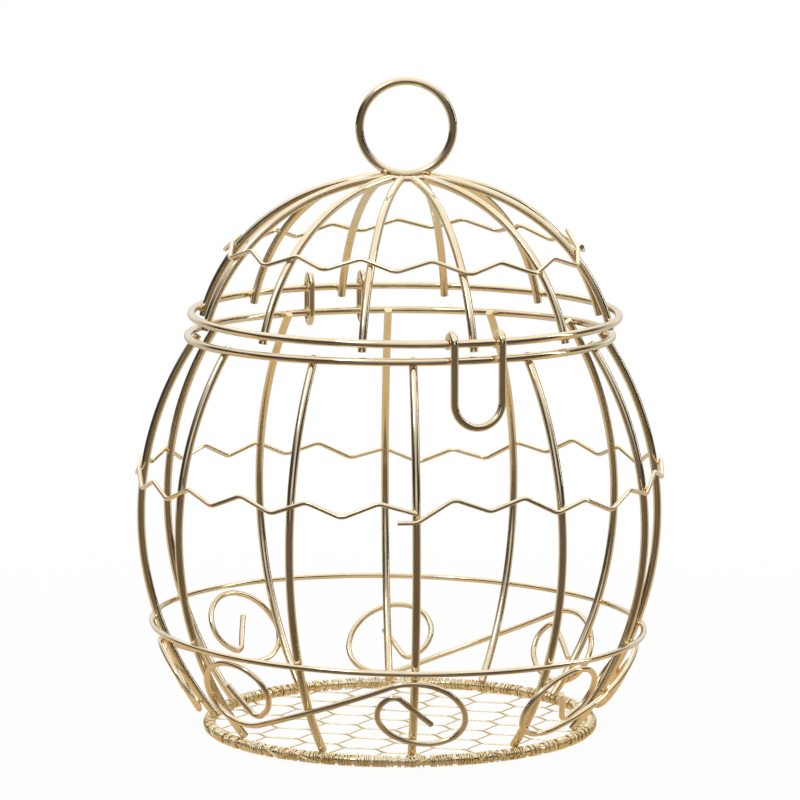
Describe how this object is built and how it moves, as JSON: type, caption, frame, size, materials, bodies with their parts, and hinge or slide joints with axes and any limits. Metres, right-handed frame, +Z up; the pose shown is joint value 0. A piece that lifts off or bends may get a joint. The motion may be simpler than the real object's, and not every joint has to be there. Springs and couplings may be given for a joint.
{
  "type": "wire birdcage card box",
  "caption": "Small birdcage-shaped wire box with a hinged dome lid, netting floor, scroll trim, front loop and hanging ring, for cards or favours.",
  "frame": {"origin": "on the surface the cage stands on, on the cage's vertical axis", "axes": "+Z up, -Y towards the front loop, +Y towards the hinge links, +X to the right seen from the front"},
  "size_m": [0.1208, 0.1209, 0.1491],
  "materials": {
    "plated_wire": "polished pale gold plating",
    "plated_trim": "polished pale gold plating on finer wire",
    "netting": "pale silvery gold wire netting"
  },
  "bodies": {
    "cage": {"base_ring": "plated_wire", "floor_netting": "netting", "lower_band": "plated_trim", "rim_ring": "plated_wire", "cage_zigzag": "plated_trim", "hinge_link_left": "plated_trim", "hinge_link_right": "plated_trim", "cage_rib_01": "plated_wire", "cage_rib_02": "plated_wire", "cage_rib_03": "plated_wire", "cage_rib_04": "plated_wire", "cage_rib_05": "plated_wire", "cage_rib_06": "plated_wire", "cage_rib_07": "plated_wire", "cage_rib_08": "plated_wire", "cage_rib_09": "plated_wire", "cage_rib_10": "plated_wire", "cage_rib_11": "plated_wire", "cage_rib_12": "plated_wire", "scroll_1": "plated_trim", "scroll_2": "plated_trim", "scroll_3": "plated_trim", "scroll_4": "plated_trim"},
    "lid": {"lid_ring": "plated_wire", "lid_zigzag": "plated_trim", "crown_ring": "plated_trim", "hanging_ring": "plated_wire", "lid_rib_01": "plated_wire", "lid_rib_02": "plated_wire", "lid_rib_03": "plated_wire", "lid_rib_04": "plated_wire", "lid_rib_05": "plated_wire", "lid_rib_06": "plated_wire", "lid_rib_07": "plated_wire", "lid_rib_08": "plated_wire", "lid_rib_09": "plated_wire", "lid_rib_10": "plated_wire", "lid_rib_11": "plated_wire", "lid_rib_12": "plated_wire"},
    "latch": {"front_latch": "plated_wire"}
  },
  "joints": [
    {"name": "lid_hinge", "type": "hinge", "parent": "cage", "child": "lid", "pos_m": [0, 0.04801, 0.09631], "axis": [-1, 0, 0], "range_deg": [0, 150]},
    {"name": "latch_swing", "type": "hinge", "parent": "lid", "child": "latch", "pos_m": [0.0012, -0.04815, 0.09429], "axis": [-1, 0, 0], "range_deg": [0, 170]}
  ]
}
